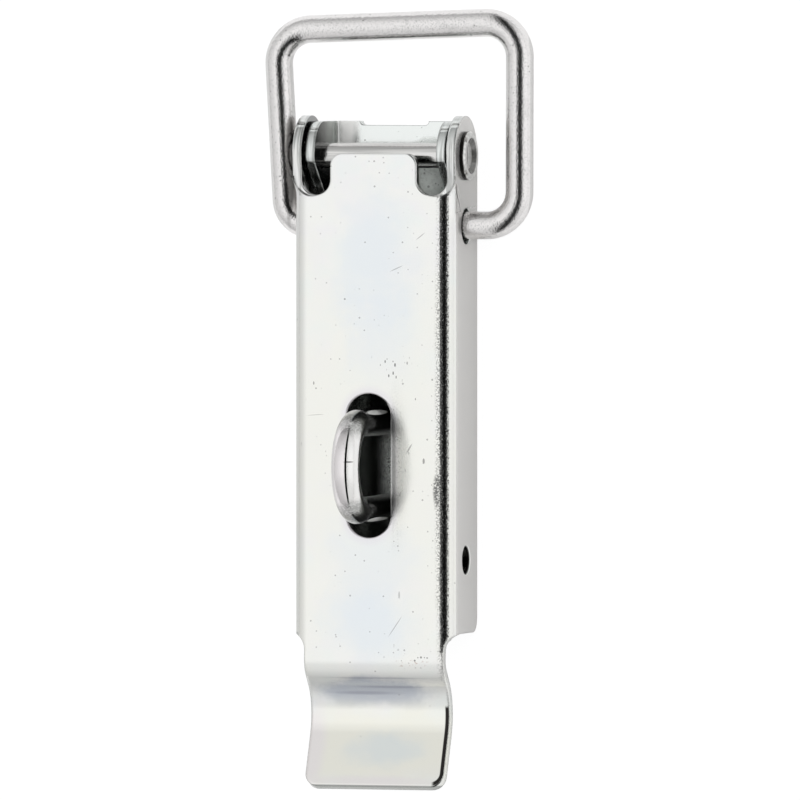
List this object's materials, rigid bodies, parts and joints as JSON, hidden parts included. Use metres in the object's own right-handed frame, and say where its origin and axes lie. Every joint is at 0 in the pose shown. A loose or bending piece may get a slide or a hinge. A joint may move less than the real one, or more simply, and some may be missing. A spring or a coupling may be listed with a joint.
{
  "type": "over centre toggle latch",
  "caption": "Over centre toggle latch: channel lever with a bent finger tab, pinned over a flat base, with a loose wire bail and a U-shaped padlock staple.",
  "frame": {"origin": "on the back face of the base plate, straight under the pivot and half way across", "axes": "+X across the latch, +Y along it towards the bail and the catch, +Z out of the mounting surface; the lever is closed at rest"},
  "size_m": [0.0613, 0.1718, 0.0417],
  "materials": {
    "base_plate": "bright zinc plate on rolled sheet",
    "lever": "bright zinc plate on rolled sheet",
    "pivot_rivet": "bright zinc plate",
    "wire_bail": "bright zinc plate on drawn wire",
    "padlock_staple": "bright zinc plate on drawn wire"
  },
  "bodies": {
    "base": {"base_plate": "base_plate", "padlock_staple": "padlock_staple", "pivot_rivet": "pivot_rivet"},
    "lever": {"lever": "lever"},
    "bail": {"wire_bail": "wire_bail"}
  },
  "joints": [
    {"name": "lever_pivot", "type": "hinge", "parent": "base", "child": "lever", "pos_m": [0, 0, 0.0118], "axis": [-1, 0, 0], "range_deg": [0, 125]},
    {"name": "bail_pivot", "type": "hinge", "parent": "lever", "child": "bail", "pos_m": [0, -0.0153, 0.0115], "axis": [1, 0, 0], "range_deg": [-10.5, 130]}
  ]
}
